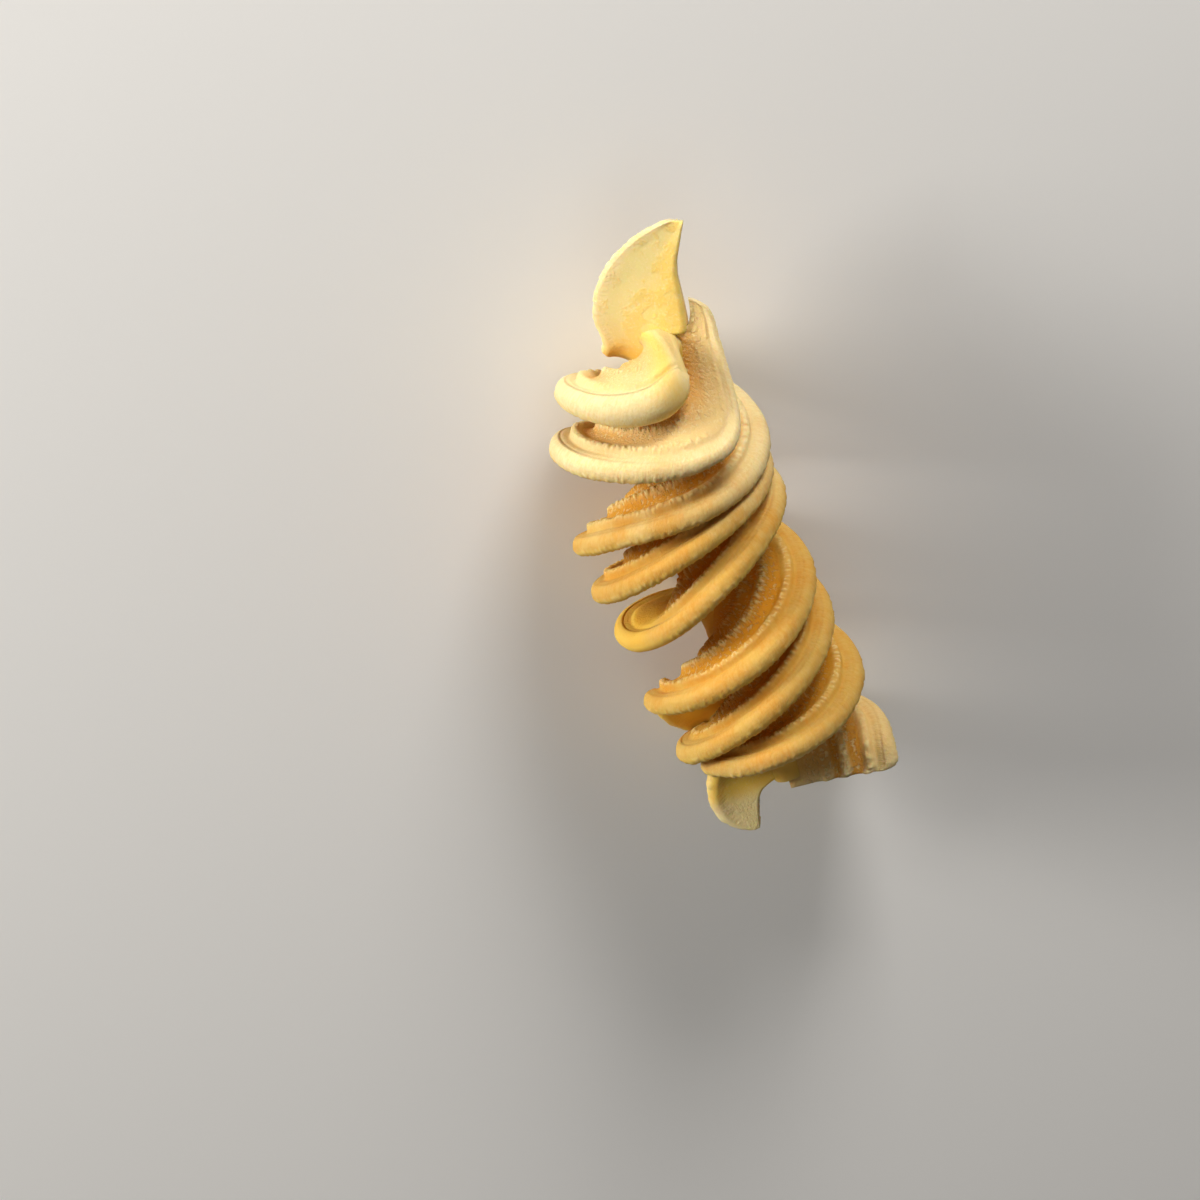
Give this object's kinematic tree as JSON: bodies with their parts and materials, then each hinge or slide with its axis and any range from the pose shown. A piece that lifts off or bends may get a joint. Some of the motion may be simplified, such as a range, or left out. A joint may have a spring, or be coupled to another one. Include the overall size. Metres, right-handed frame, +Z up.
{
  "type": "fusillone pasta piece",
  "caption": "Large dry fusillone: three beaded blades twist round a thin bent core, one runs on as a free crescent at the trimmed end, lying on its side.",
  "frame": {"origin": "centre of the bounding box's bottom face, where the lowest rims rest", "axes": "+X along the twist axis towards the end with the free crescent, +Z up with the shown side on top, -Y to the right as the picture shows the piece"},
  "size_m": [0.0552, 0.0188, 0.0191],
  "materials": {
    "pasta": "dry, floury bronze-cut durum pasta, rough on the side facing +X and waxy on the other"
  },
  "bodies": {
    "root": {"fusillone": "pasta"}
  },
  "joints": []
}
